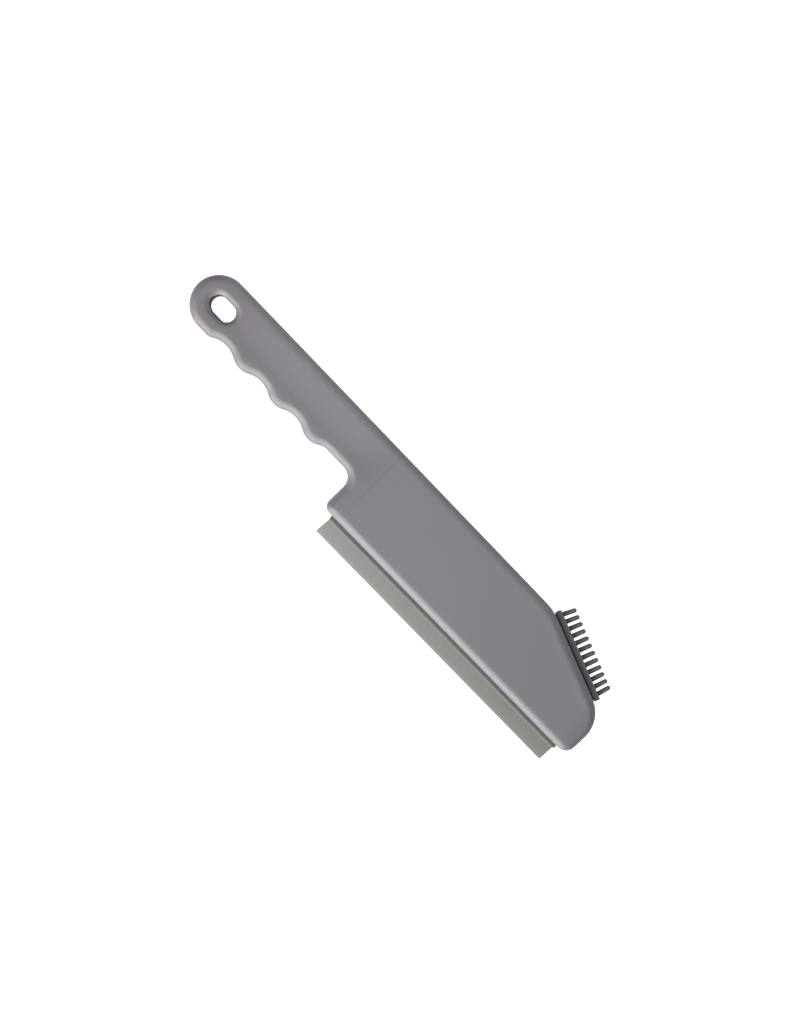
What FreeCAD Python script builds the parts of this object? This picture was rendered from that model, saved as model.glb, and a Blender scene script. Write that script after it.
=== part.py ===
"""Hand-held carpet scraper: a knife-shaped hollow grip and body in two moulded
shells, a rubber squeegee blade along the lower edge and a rubber comb on the
sloped nose.

It lies on its broad rear face, +Z up.  +X runs from the handle to the nose,
+Y from the blade to the spine.  The pieces are built about the handle's middle
line and the parting plane, and moved to the resting place at the end.
"""
import FreeCAD, Part
import math
import os

Vec = FreeCAD.Vector

# ---- overall form ---------------------------------------------------------
LENGTH = 280.0          # handle end to nose
THICKNESS = 15.0        # both shells together
HANDLE_WIDTH = 27.5     # spine to the crests between the finger grooves
BODY_DEPTH = 44.2       # spine to the lower edge
EDGE_ROUND = 4.3        # rounding of every long edge
LEAST_SIDE = 0.8        # upright wall left beside the parting plane, at least

# ---- shallow hollow in the handle's faces ---------------------------------
HOLLOW_DEPTH = 0.78     # its lowest line below the spine side
HOLLOW_LIP = 0.35       # rise from there to the groove side
HOLLOW_FROM_SPINE = 16.25
LIP_WIDTH = 6.0         # lowest line to the top of the lip
HOLLOW_BEND = 6.0       # lowest line to where the slope up to the spine is straight
HOLLOW_START = 8.0      # from the handle's end
HOLLOW_FULL = 42.0
HOLLOW_ENDS = 9.0       # starts to run out this far ahead of the guard
HOLLOW_GONE = 8.0       # has run out this far past the guard

# ---- finger grooves and guard --------------------------------------------
GROOVES = 3
GROOVE_START = 28.9     # handle end to the middle of the first groove
GROOVE_PITCH = 22.6
GROOVE_DEPTH = 3.0
GROOVE_RADIUS = 12.9
HEEL_RADIUS = 4.4       # run-in ahead of the first groove
LAST_RADIUS = 7.0       # run-in to the flat stretch by the guard
FLAT_STRETCH = 11.1     # flat part of the last groove
GUARD_FILLET = 7.05
GUARD_CORNER = 3.4

# ---- nose -----------------------------------------------------------------
SLOPE_ANGLE = 19.8      # degrees below the spine
SLOPE_LENGTH = 42.5
SHOULDER_RADIUS = 29.0
NOSE_RADIUS = 16.4
NOSE_CORNER = 5.5

# ---- hanging slot ---------------------------------------------------------
SLOT_LENGTH = 13.8
SLOT_WIDTH = 8.8
SLOT_PLACE = 16.0       # handle end to the slot's middle
SLOT_DISH = 2.4         # rounding of the slot's mouths

# ---- shells ---------------------------------------------------------------
WALL = 2.2
CORNER_STEP = 1.4       # the hollow narrows by this under the rounded edges
CORNER_DROP = 0.8
RIB = 1.4
RIB_GAP = 0.2           # each rib stops this far short of the parting plane
BODY_RIBS = 4
TONGUE = 1.0            # locating tongue round the inside of the front shell
TONGUE_REACH = 1.4
FIT_GAP = 0.15          # general clearance between moulded pieces

# ---- screws ---------------------------------------------------------------
SCREW_DIAMETER = 3.0
SCREW_LENGTHS = (5, 6, 8, 10, 12, 16)   # stock lengths under the head
SCREW_SKIN = 2.5        # front face to the end of the pilot hole, at least
SCREW_GAP = 0.05        # radial, in the formed thread
SHANK_GAP = 0.2         # radial, in the rear post
HEAD_DIAMETER = 5.6
HEAD_HEIGHT = 2.0
HEAD_SEAT = 3.6         # rear face to the face the head bears on
HEAD_GAP = 0.4          # radial, in the counterbore
CROSS_WIDTH = 0.9
CROSS_DEPTH = 1.1
BOSS_WALL = 1.6
TIP_ROOM = 0.3          # pilot hole past the screw's tip
SCREW_FROM_SPINE = 10.0
SCREW_FROM_EDGE = 14.0
SCREW_FROM_GUARD = 15.0
SCREW_FROM_NOSE = 17.0

# ---- squeegee blade and its carrier ---------------------------------------
CARRIER_FROM_GUARD = 6.0
CARRIER_FROM_NOSE = 6.15
CARRIER_SHOWS = 1.95    # height of the strip below the lower edge
CARRIER_FOOT = 5.4      # its thickness there
FOOT_MARGIN = 0.5       # flat left beside the foot by the edge rounding
CARRIER_SETBACK = 3.0   # neck and head are shorter than the foot at each end
HEAD_LIP = 1.9          # the head overhangs the neck by this on each side
BLADE_SHOWS = 8.7
BLADE_ROOT = 2.2        # thickness in the carrier
BLADE_TIP = 1.3         # thickness at the wiping edge
BLADE_INSET_HANDLE = 0.3
BLADE_INSET_NOSE = 0.4
BLADE_FLARE = 0.55      # the handle end leans out towards the edge
BEAD_WIDTH = 4.0
BEAD_HEIGHT = 1.6
GRIP_WALL = 1.2         # carrier wall beside and above the blade's root
RUBBER_GAP = 0.05

# ---- comb and its rail ----------------------------------------------------
COMB_LENGTH = 47.1
COMB_OVERHANG = 1.95    # past the end of the straight slope, at the nose
COMB_HEIGHT = 3.45      # top of the bar above the slope
COMB_DEPTH = 4.0
BAR_EDGE = 0.35         # rounding of the bar's top edges
SEAT_HEIGHT = 0.6       # rail flange under the bar
SEAT_DEPTH = 3.0
SEAT_SETBACK = 0.6
TEETH = 12
TOOTH_PITCH = 3.88
TOOTH_LENGTH = 6.85
TOOTH_ROOT = 2.15       # diameters
TOOTH_TIP = 1.95
TOOTH_SINK = 0.6        # depth of each tooth's root in the bar
FIRST_TOOTH = 2.05      # handle-side end of the bar to the first tooth
END_LEAN = 5.5          # degrees, the end teeth lean inwards
RAIL_NECK = 1.4
RAIL_KEY = 2.6          # key that the rubber bar is pushed on to
RAIL_KEY_HEIGHT = 1.0
RAIL_KEY_RISE = 0.6     # neck between flange and key
RAIL_HEAD = 4.4
RAIL_HEAD_HEIGHT = 1.6
RAIL_SETBACK = 3.0
PAD = 1.2               # extra wall under the comb

# ---- worked out from the above --------------------------------------------
HALF = THICKNESS / 2
SPINE_Y = HANDLE_WIDTH / 2
CREST_Y = -HANDLE_WIDTH / 2
VALLEY_Y = CREST_Y + GROOVE_DEPTH
LOWER_Y = SPINE_Y - BODY_DEPTH
END_X = -LENGTH / 2
NOSE_X = LENGTH / 2
FIRST_GROOVE_X = END_X + GROOVE_START
LAST_CREST_X = FIRST_GROOVE_X + (GROOVES - 0.5) * GROOVE_PITCH
CREST_RADIUS = (GROOVE_PITCH ** 2 / 4 + GROOVE_DEPTH ** 2) / (2 * GROOVE_DEPTH) - GROOVE_RADIUS
GROOVE_HALF_ANGLE = math.degrees(math.asin(GROOVE_PITCH / 2 / (GROOVE_RADIUS + CREST_RADIUS)))
HEEL_ANGLE = math.degrees(math.acos(1 - GROOVE_DEPTH / (GROOVE_RADIUS + HEEL_RADIUS)))
HEEL_X = FIRST_GROOVE_X - (GROOVE_RADIUS + HEEL_RADIUS) * math.sin(math.radians(HEEL_ANGLE))
LAST_ANGLE = math.degrees(math.acos(1 - GROOVE_DEPTH / (CREST_RADIUS + LAST_RADIUS)))
FLAT_X = LAST_CREST_X + (CREST_RADIUS + LAST_RADIUS) * math.sin(math.radians(LAST_ANGLE))
GUARD_X = FLAT_X + FLAT_STRETCH + GUARD_FILLET
BODY_X = GUARD_X + HOLLOW_GONE

SLOPE = math.radians(SLOPE_ANGLE)
NOSE_CENTRE_X = NOSE_X - NOSE_RADIUS
SHOULDER_DROP = SHOULDER_RADIUS * (1 - math.cos(SLOPE))
NOSE_CENTRE_Y = (SPINE_Y - SHOULDER_DROP - SLOPE_LENGTH * math.sin(SLOPE)
                 - NOSE_RADIUS * math.cos(SLOPE))
SLOPE_END = Vec(NOSE_CENTRE_X + NOSE_RADIUS * math.sin(SLOPE),
                NOSE_CENTRE_Y + NOSE_RADIUS * math.cos(SLOPE), 0)
SLOPE_START = SLOPE_END - Vec(math.cos(SLOPE), -math.sin(SLOPE), 0) * SLOPE_LENGTH
SHOULDER_X = SLOPE_START.x - SHOULDER_RADIUS * math.sin(SLOPE)
CORNER = min(NOSE_CORNER, (NOSE_CENTRE_Y - LOWER_Y) * 0.95)

MOST_ROUND = min(HALF - HOLLOW_DEPTH - LEAST_SIDE, HALF - CARRIER_FOOT / 2 - FOOT_MARGIN)
ROUND = min(EDGE_ROUND, MOST_ROUND)
DISH = min(SLOT_DISH, MOST_ROUND)
SLOT_X = END_X + SLOT_PLACE
CARRIER_X0 = GUARD_X + CARRIER_FROM_GUARD
CARRIER_X1 = NOSE_X - CARRIER_FROM_NOSE
CARRIER_BOTTOM = LOWER_Y - CARRIER_SHOWS
NECK = BLADE_ROOT + 2 * (RUBBER_GAP + GRIP_WALL)
HEAD = NECK + 2 * HEAD_LIP
HEAD_Y0 = LOWER_Y + WALL + FIT_GAP
HEAD_Y1 = HEAD_Y0 + GRIP_WALL + BEAD_HEIGHT + 2 * RUBBER_GAP + GRIP_WALL
SCREW_ROOM = THICKNESS - HEAD_SEAT - TIP_ROOM - SCREW_SKIN
SCREW_LENGTH = max(length for length in SCREW_LENGTHS if length <= SCREW_ROOM)
SCREW_TIP_Z = -HALF + HEAD_SEAT + SCREW_LENGTH


# ---- drawing helpers ------------------------------------------------------
def arc(x, y, radius, start, end):
    points = [Vec(x + radius * math.cos(math.radians(a)), y + radius * math.sin(math.radians(a)), 0)
              for a in (start, (start + end) / 2, end)]
    return Part.Arc(*points).toShape()


def line(x0, y0, x1, y1):
    return Part.makeLine(Vec(x0, y0, 0), Vec(x1, y1, 0))


def joined(edges):
    return Part.Wire(Part.__sortEdges__(edges))


def block(x0, x1, y0, y1, z0, z1):
    return Part.makeBox(x1 - x0, y1 - y0, z1 - z0, Vec(x0, y0, z0))


def prism(wire, z0, z1):
    flat = Part.Face(wire)
    flat.translate(Vec(0, 0, z0))
    return flat.extrude(Vec(0, 0, z1 - z0))


def one(shapes):
    return shapes[0].fuse(shapes[1:]).removeSplitter() if len(shapes) > 1 else shapes[0]


def only_solid(shape):
    """The single solid of a boolean's result."""
    assert len(shape.Solids) == 1, "expected one solid, got %d" % len(shape.Solids)
    return shape.Solids[0]


# ---- outlines -------------------------------------------------------------
def grooves():
    """Lower side of the handle, from the flat heel to the guard."""
    edges = [arc(HEEL_X, CREST_Y + HEEL_RADIUS, HEEL_RADIUS, 270, 270 + HEEL_ANGLE)]
    for i in range(GROOVES):
        x = FIRST_GROOVE_X + i * GROOVE_PITCH
        before = HEEL_ANGLE if i == 0 else GROOVE_HALF_ANGLE
        after = LAST_ANGLE if i == GROOVES - 1 else GROOVE_HALF_ANGLE
        edges.append(arc(x, VALLEY_Y - GROOVE_RADIUS, GROOVE_RADIUS, 90 + before, 90 - GROOVE_HALF_ANGLE))
        edges.append(arc(x + GROOVE_PITCH / 2, CREST_Y + CREST_RADIUS, CREST_RADIUS,
                         270 - GROOVE_HALF_ANGLE, 270 + after))
    edges.append(arc(FLAT_X, VALLEY_Y - LAST_RADIUS, LAST_RADIUS, 90 + LAST_ANGLE, 90))
    edges.append(line(FLAT_X, VALLEY_Y, GUARD_X - GUARD_FILLET, VALLEY_Y))
    return edges


def outline():
    edges = [arc(END_X + SPINE_Y, 0, SPINE_Y, 90, 270),
             line(END_X + SPINE_Y, CREST_Y, HEEL_X, CREST_Y)]
    edges += grooves()
    edges += [arc(GUARD_X - GUARD_FILLET, VALLEY_Y - GUARD_FILLET, GUARD_FILLET, 90, 0),
              line(GUARD_X, VALLEY_Y - GUARD_FILLET, GUARD_X, LOWER_Y + GUARD_CORNER),
              arc(GUARD_X + GUARD_CORNER, LOWER_Y + GUARD_CORNER, GUARD_CORNER, 180, 270),
              line(GUARD_X + GUARD_CORNER, LOWER_Y, NOSE_X - CORNER, LOWER_Y),
              arc(NOSE_X - CORNER, LOWER_Y + CORNER, CORNER, 270, 360),
              line(NOSE_X, LOWER_Y + CORNER, NOSE_X, NOSE_CENTRE_Y),
              arc(NOSE_CENTRE_X, NOSE_CENTRE_Y, NOSE_RADIUS, 0, 90 - SLOPE_ANGLE),
              Part.makeLine(SLOPE_END, SLOPE_START),
              arc(SHOULDER_X, SPINE_Y - SHOULDER_RADIUS, SHOULDER_RADIUS, 90 - SLOPE_ANGLE, 90),
              line(SHOULDER_X, SPINE_Y, END_X + SPINE_Y, SPINE_Y)]
    return joined(edges)


def inner(wire, inset):
    """The outline moved inwards."""
    return wire.makeOffset2D(-inset)


def slot_wire(grow=0.0):
    radius = SLOT_WIDTH / 2 + grow
    half = (SLOT_LENGTH - SLOT_WIDTH) / 2
    return joined([arc(SLOT_X - half, 0, radius, 90, 270),
                   line(SLOT_X - half, -radius, SLOT_X + half, -radius),
                   arc(SLOT_X + half, 0, radius, -90, 90),
                   line(SLOT_X + half, radius, SLOT_X - half, radius)])


# ---- the casing's outer form, front half ----------------------------------
def ease(share):
    share = min(1.0, max(0.0, share))
    return share * share * (3 - 2 * share)


def hollow_drop(y):
    """How far the hollow's section lies below the spine side."""
    up = y - (SPINE_Y - HOLLOW_FROM_SPINE)
    if up < 0:
        return HOLLOW_DEPTH - HOLLOW_LIP * ease(-up / LIP_WIDTH)
    run = HOLLOW_FROM_SPINE - ROUND
    slope = HOLLOW_DEPTH / (run - HOLLOW_BEND / 2)
    risen = slope * up * up / 2 / HOLLOW_BEND if up < HOLLOW_BEND else slope * (up - HOLLOW_BEND / 2)
    return max(0.0, HOLLOW_DEPTH - risen)


def face_height(x, y):
    """Height of the handle's face above the parting plane."""
    start = ease((x - END_X - HOLLOW_START) / (HOLLOW_FULL - HOLLOW_START))
    end = ease((BODY_X - x) / (HOLLOW_ENDS + HOLLOW_GONE))
    return HALF - start * end * hollow_drop(y)


def hollowed_block():
    rows, columns = 60, 34
    margin = 3.0
    x0 = END_X - margin
    y0, y1 = LOWER_Y - margin, SPINE_Y + margin
    points = []
    for i in range(rows):
        x = x0 + (BODY_X - x0) * i / (rows - 1)
        ys = [y0 + (y1 - y0) * j / (columns - 1) for j in range(columns)]
        points.append([Vec(x, y, face_height(x, y)) for y in ys])
    roof = Part.BSplineSurface()
    roof.interpolate(points)
    return roof.toShape().extrude(Vec(0, 0, -THICKNESS))


def rim_edges(shape, wire):
    """Edges of the upper face that lie over a plan wire."""
    found = []
    for edge in shape.Edges:
        if edge.BoundBox.ZMin < HALF / 4:
            continue
        middle = edge.valueAt((edge.FirstParameter + edge.LastParameter) / 2)
        if wire.distToShape(Part.Vertex(Vec(middle.x, middle.y, 0)))[0] < 0.01:
            found.append(edge)
    return found


def outer_half(wire):
    far = 2 * LENGTH
    slab = prism(wire, 0, THICKNESS)
    handle = slab.common(hollowed_block()).common(block(-far, BODY_X, -far, far, 0, THICKNESS))
    body = slab.common(block(BODY_X, far, -far, far, 0, HALF))
    half = only_solid(handle.fuse(body).removeSplitter())
    half = half.makeFillet(ROUND, rim_edges(half, wire))
    slot = slot_wire()
    half = half.cut(prism(slot, -1, THICKNESS))
    return only_solid(half.makeFillet(DISH, rim_edges(half, slot)))


# ---- the hollow inside, front half ----------------------------------------
def hollow_half(wire):
    far = 2 * LENGTH
    parts = []
    for x0, x1, roof in ((-far, BODY_X, HALF - HOLLOW_DEPTH - WALL), (BODY_X - 1, far, HALF - WALL)):
        limit = block(x0, x1, -far, far, 0, THICKNESS)
        parts.append(prism(inner(wire, WALL), 0, roof - CORNER_DROP).common(limit))
        parts.append(prism(inner(wire, WALL + CORNER_STEP), 0, roof).common(limit))
    hollow = one(parts)
    hollow = hollow.cut(prism(slot_wire(WALL + DISH / 2), -1, THICKNESS))
    return hollow.cut(on_slope(block(-SLOPE_LENGTH, 0, -WALL - PAD, 0, 0, THICKNESS)))


# ---- places ---------------------------------------------------------------
def on_slope(shape):
    """Put a shape drawn along the slope, from its nose end, on the slope."""
    placed = shape.copy()
    placed.rotate(Vec(0, 0, 0), Vec(0, 0, 1), -SLOPE_ANGLE)
    placed.translate(SLOPE_END)
    return placed


def screw_places():
    crests = [FIRST_GROOVE_X + (i + 0.5) * GROOVE_PITCH for i in range(GROOVES)]
    low = LOWER_Y + SCREW_FROM_EDGE
    high = SPINE_Y - SCREW_FROM_SPINE
    near = GUARD_X + SCREW_FROM_GUARD
    return [(crests[0], 0), (crests[-1], 0), (near, high), (near, low),
            (SHOULDER_X, high), (NOSE_X - SCREW_FROM_NOSE, low)]


def rib_places():
    start = GUARD_X + SCREW_FROM_GUARD
    step = (NOSE_X - SCREW_FROM_NOSE - start) / (BODY_RIBS + 1)
    return [start + step * (i + 1) for i in range(BODY_RIBS)]


def drill(x, y, radius, z0, z1):
    return Part.makeCylinder(radius, z1 - z0, Vec(x, y, z0))


# ---- shells ---------------------------------------------------------------
def ribs_half(wire):
    hollow = prism(inner(wire, WALL), 0, THICKNESS)
    walls = [block(x - RIB / 2, x + RIB / 2, LOWER_Y, SPINE_Y, RIB_GAP, HALF - WALL / 2)
             for x in rib_places()]
    return [wall.common(hollow) for wall in walls]


def carrier_space():
    """Room for the carrier's head and neck inside the shells."""
    x0 = CARRIER_X0 + CARRIER_SETBACK - FIT_GAP
    x1 = CARRIER_X1 - CARRIER_SETBACK + FIT_GAP
    neck = NECK / 2 + FIT_GAP
    head = HEAD / 2 + FIT_GAP
    return one([block(x0, x1, LOWER_Y - 1, HEAD_Y0, -neck, neck),
                block(x0, x1, HEAD_Y0 - FIT_GAP, HEAD_Y1 + FIT_GAP, -head, head)])


def rail_space():
    """Room for the comb rail's head and neck inside the shells."""
    x0, x1 = rail_span()
    neck = RAIL_NECK / 2 + FIT_GAP
    head = RAIL_HEAD / 2 + FIT_GAP
    floor = -WALL - PAD
    return on_slope(one([block(x0 - FIT_GAP, x1 + FIT_GAP, floor, 1, -neck, neck),
                         block(x0 - FIT_GAP, x1 + FIT_GAP, floor - RAIL_HEAD_HEIGHT - 2 * FIT_GAP, floor,
                               -head, head)]))


def shell_half(outer, hollow, wire, bosses):
    shell = outer.cut(hollow)
    inside = outer.common(prism(inner(wire, WALL), 0, THICKNESS))
    shell = one([shell] + ribs_half(wire) + [boss.common(inside) for boss in bosses])
    return shell.cut([carrier_space(), rail_space()])


def front_shell(outer, hollow, wire):
    radius = SCREW_DIAMETER / 2 + SCREW_GAP
    places = screw_places()
    bosses = [drill(x, y, radius + BOSS_WALL, 0, THICKNESS) for x, y in places]
    shell = shell_half(outer, hollow, wire, bosses)
    skirt = tongue(wire)
    shell = one([shell, skirt])
    shell = shell.cut([drill(x, y, radius, -HALF, SCREW_TIP_Z + TIP_ROOM) for x, y in places])
    return only_solid(shell)


def tongue(wire):
    """Skirt inside the front shell's wall that reaches into the rear shell."""
    outside = inner(wire, WALL + FIT_GAP)
    inside = inner(wire, WALL + FIT_GAP + TONGUE)
    root = prism(inner(wire, WALL), 0, TONGUE_REACH).cut(prism(inside, -1, THICKNESS))
    skirt = prism(outside, -TONGUE_REACH, 0).cut(prism(inside, -THICKNESS, THICKNESS))
    ring = one([root, skirt])
    cuts = [carrier_space(), rail_space()]
    cuts.append(on_slope(block(-SLOPE_LENGTH - RIB, RIB, -WALL - PAD - TONGUE, RIB, -HALF, HALF)))
    cuts += [block(x - RIB / 2 - FIT_GAP, x + RIB / 2 + FIT_GAP, LOWER_Y, SPINE_Y, -HALF, 0)
             for x in rib_places()]
    cuts.append(block(GUARD_X, NOSE_X, LOWER_Y, HEAD_Y1 + FIT_GAP, -HALF, 0))
    return ring.cut(cuts)


def rear_shell(outer, hollow, wire):
    bore = SCREW_DIAMETER / 2 + SHANK_GAP
    recess = HEAD_DIAMETER / 2 + HEAD_GAP
    places = screw_places()
    posts = [drill(x, y, recess + BOSS_WALL / 2, 0, THICKNESS) for x, y in places]
    shell = shell_half(outer, hollow, wire, posts)
    shell = shell.mirror(Vec(0, 0, 0), Vec(0, 0, 1))
    shell = shell.cut([drill(x, y, bore, -THICKNESS, 1) for x, y in places]
                      + [drill(x, y, recess, -THICKNESS, -HALF + HEAD_SEAT) for x, y in places])
    return only_solid(shell)


# ---- screws ---------------------------------------------------------------
def screw(x, y):
    seat = -HALF + HEAD_SEAT
    radius = SCREW_DIAMETER / 2
    head = drill(0, 0, HEAD_DIAMETER / 2, seat - HEAD_HEIGHT, seat)
    rim = [e for e in head.Edges if e.BoundBox.ZMax < seat - HEAD_HEIGHT + 0.01 and e.Closed]
    head = head.makeFillet(HEAD_HEIGHT * 0.4, rim)
    shank = drill(0, 0, radius, seat - 0.2, SCREW_TIP_Z - radius)
    point = Part.makeCone(radius, radius * 0.3, radius, Vec(0, 0, SCREW_TIP_Z - radius))
    arm = HEAD_DIAMETER * 0.3
    half = CROSS_WIDTH / 2
    bottom = seat - HEAD_HEIGHT
    cross = [block(-arm, arm, -half, half, bottom - 1, bottom + CROSS_DEPTH),
             block(-half, half, -arm, arm, bottom - 1, bottom + CROSS_DEPTH)]
    body = only_solid(one([head, shank, point]).cut(cross))
    body.translate(Vec(x, y, 0))
    return body


def shell_screws():
    return Part.makeCompound([screw(x, y) for x, y in screw_places()])


# ---- squeegee blade and its carrier ---------------------------------------
def root_section(grow):
    """Root and wider bead of the blade: (low y, high y, half thickness) of each."""
    half = BLADE_ROOT / 2 + grow
    bead = BEAD_WIDTH / 2 + grow
    base = HEAD_Y0 + GRIP_WALL
    return ((CARRIER_BOTTOM, base + BEAD_HEIGHT / 2, half),
            (base + RUBBER_GAP - grow, base + RUBBER_GAP + BEAD_HEIGHT + grow, bead))


def blade_carrier():
    x0, x1 = CARRIER_X0, CARRIER_X1
    inset = CARRIER_SETBACK
    foot = block(x0, x1, CARRIER_BOTTOM, LOWER_Y, -CARRIER_FOOT / 2, CARRIER_FOOT / 2)
    neck = block(x0 + inset, x1 - inset, LOWER_Y - CARRIER_SHOWS / 2, HEAD_Y0 + GRIP_WALL / 2,
                 -NECK / 2, NECK / 2)
    head = block(x0 + inset, x1 - inset, HEAD_Y0, HEAD_Y1, -HEAD / 2, HEAD / 2)
    channel = [block(x0 - 1, x1 + 1, y0 - RUBBER_GAP, y1, -z, z) for y0, y1, z in root_section(RUBBER_GAP)]
    return only_solid(one([foot, neck, head]).cut(channel))


def squeegee_blade():
    x0 = CARRIER_X0 + BLADE_INSET_HANDLE
    x1 = CARRIER_X1 - BLADE_INSET_NOSE
    tip_y = CARRIER_BOTTOM - BLADE_SHOWS
    section = [Vec(x0, CARRIER_BOTTOM, -BLADE_ROOT / 2), Vec(x0, CARRIER_BOTTOM, BLADE_ROOT / 2),
               Vec(x0, tip_y, BLADE_TIP / 2), Vec(x0, tip_y, -BLADE_TIP / 2)]
    lip = Part.Face(Part.makePolygon(section + section[:1])).extrude(Vec(x1 - x0, 0, 0))
    flare = [Vec(x0, CARRIER_BOTTOM, 0), Vec(x0, tip_y, 0), Vec(x0 - BLADE_FLARE, tip_y, 0)]
    wedge = Part.Face(Part.makePolygon(flare + flare[:1])).extrude(Vec(0, 0, THICKNESS))
    wedge.translate(Vec(0, 0, -HALF))
    slab = [corner - Vec(BLADE_FLARE, 0, 0) for corner in section]
    end = Part.Face(Part.makePolygon(slab + slab[:1])).extrude(Vec(BLADE_FLARE, 0, 0)).common(wedge)
    (_, neck_top, neck_half), (bead_y0, bead_y1, bead_half) = root_section(0.0)
    held0 = CARRIER_X0 + CARRIER_SETBACK
    held1 = CARRIER_X1 - CARRIER_SETBACK
    root = [block(x0, x1, CARRIER_BOTTOM, LOWER_Y, -neck_half, neck_half),
            block(held0, held1, CARRIER_BOTTOM, neck_top, -neck_half, neck_half),
            block(held0, held1, bead_y0, bead_y1, -bead_half, bead_half)]
    return only_solid(one([lip, end] + root))


# ---- comb and its rail ----------------------------------------------------
def rail_span():
    """Ends of the rail's head, measured along the slope from its nose end."""
    x1 = COMB_OVERHANG - RAIL_SETBACK
    return x1 - COMB_LENGTH + 2 * RAIL_SETBACK, x1


def key_section(grow):
    """Neck and wider key of the rail: (low y, high y, half thickness) of each."""
    top = SEAT_HEIGHT + RAIL_KEY_RISE
    return ((SEAT_HEIGHT / 2, top + RAIL_KEY_HEIGHT / 2, RAIL_NECK / 2 + grow),
            (top - grow, top + RAIL_KEY_HEIGHT + grow, RAIL_KEY / 2 + grow))


def comb_rail():
    x0, x1 = rail_span()
    seat0 = COMB_OVERHANG - COMB_LENGTH + SEAT_SETBACK
    seat1 = COMB_OVERHANG - SEAT_SETBACK
    floor = -WALL - PAD - FIT_GAP
    pieces = [block(seat0, seat1, 0, SEAT_HEIGHT, -SEAT_DEPTH / 2, SEAT_DEPTH / 2),
              block(x0, x1, floor - RAIL_HEAD_HEIGHT, floor, -RAIL_HEAD / 2, RAIL_HEAD / 2),
              block(x0, x1, floor - RAIL_HEAD_HEIGHT / 2, SEAT_HEIGHT / 2, -RAIL_NECK / 2, RAIL_NECK / 2)]
    pieces += [block(x0, x1, y0, y1, -z, z) for y0, y1, z in key_section(0.0)]
    return only_solid(on_slope(one(pieces)))


def tooth(x, lean):
    root, tip = TOOTH_ROOT / 2, TOOTH_TIP / 2
    straight = TOOTH_LENGTH + TOOTH_SINK - tip
    shape = one([Part.makeCone(root, tip, straight), Part.makeSphere(tip, Vec(0, 0, straight))])
    shape.rotate(Vec(0, 0, 0), Vec(1, 0, 0), -90)
    shape.translate(Vec(0, -TOOTH_SINK, 0))
    shape.rotate(Vec(0, 0, 0), Vec(0, 0, 1), lean)
    shape.translate(Vec(x, COMB_HEIGHT, 0))
    return shape


def comb_strip():
    x0 = COMB_OVERHANG - COMB_LENGTH
    bar = block(x0, COMB_OVERHANG, SEAT_HEIGHT, COMB_HEIGHT, -COMB_DEPTH / 2, COMB_DEPTH / 2)
    bar = bar.makeFillet(BAR_EDGE, [e for e in bar.Edges if e.BoundBox.YMin > COMB_HEIGHT - BAR_EDGE])
    teeth = []
    for i in range(TEETH):
        share = 2 * i / (TEETH - 1) - 1
        teeth.append(tooth(x0 + FIRST_TOOTH + i * TOOTH_PITCH, END_LEAN * share ** 3))
    k0, k1 = rail_span()
    keyway = [block(k0 - FIT_GAP, k1 + FIT_GAP, y0, y1, -z, z) for y0, y1, z in key_section(RUBBER_GAP)]
    return only_solid(on_slope(one([bar] + teeth).cut(keyway)))


# ---- build ----------------------------------------------------------------
def main():
    wire = outline()
    outer = outer_half(wire)
    hollow = hollow_half(wire)
    pieces = {
        "front_shell": front_shell(outer, hollow, wire),
        "rear_shell": rear_shell(outer, hollow, wire),
        "shell_screws": shell_screws(),
        "blade_carrier": blade_carrier(),
        "squeegee_blade": squeegee_blade(),
        "comb_rail": comb_rail(),
        "comb_strip": comb_strip(),
    }
    whole = Part.makeCompound(list(pieces.values())).optimalBoundingBox(False, False)
    rest = Vec(-(whole.XMin + whole.XMax) / 2, -(whole.YMin + whole.YMax) / 2, -whole.ZMin)
    os.makedirs("parts", exist_ok=True)
    for name, shape in pieces.items():
        shape.translate(rest)
        shape.exportStep("parts/%s.step" % name)
        box = shape.optimalBoundingBox(False, False)
        print("%-15s solids %d valid %s vol %.1f  x %.2f..%.2f y %.2f..%.2f z %.2f..%.2f" % (
            name, len(shape.Solids), shape.isValid(), shape.Volume,
            box.XMin, box.XMax, box.YMin, box.YMax, box.ZMin, box.ZMax))
    print("moved to rest by", rest)


main()
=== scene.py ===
import math

import bmesh
import bpy
from mathutils import Matrix, Vector


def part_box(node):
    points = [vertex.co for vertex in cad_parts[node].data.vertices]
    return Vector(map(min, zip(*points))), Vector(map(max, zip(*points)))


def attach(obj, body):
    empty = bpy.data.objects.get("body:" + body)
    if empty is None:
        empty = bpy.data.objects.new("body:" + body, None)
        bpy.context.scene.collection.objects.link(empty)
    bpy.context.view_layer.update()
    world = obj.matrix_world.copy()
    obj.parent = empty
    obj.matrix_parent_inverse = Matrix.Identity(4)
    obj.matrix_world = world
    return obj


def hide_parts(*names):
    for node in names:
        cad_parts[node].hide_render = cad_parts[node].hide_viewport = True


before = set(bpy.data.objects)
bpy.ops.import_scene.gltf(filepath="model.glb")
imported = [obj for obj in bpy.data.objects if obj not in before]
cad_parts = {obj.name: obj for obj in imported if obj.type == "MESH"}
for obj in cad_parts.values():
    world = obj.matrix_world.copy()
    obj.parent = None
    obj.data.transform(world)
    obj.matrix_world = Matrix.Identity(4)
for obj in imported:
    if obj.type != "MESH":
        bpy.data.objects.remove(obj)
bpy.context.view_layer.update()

MM = 0.001

# ---- sizes, in millimetres ------------------------------------------------
HANDLE_WIDTH = 27.5
EDGE_ROUND = 4.3
SPINE_ROUND = 4.0       # the spine's edges are rounded a little tighter
ROUND_STEPS = 9
HOLD = 0.25             # narrow flat ring that keeps the face flat beside a rounding
SEAM_BEVEL = 0.14

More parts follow.
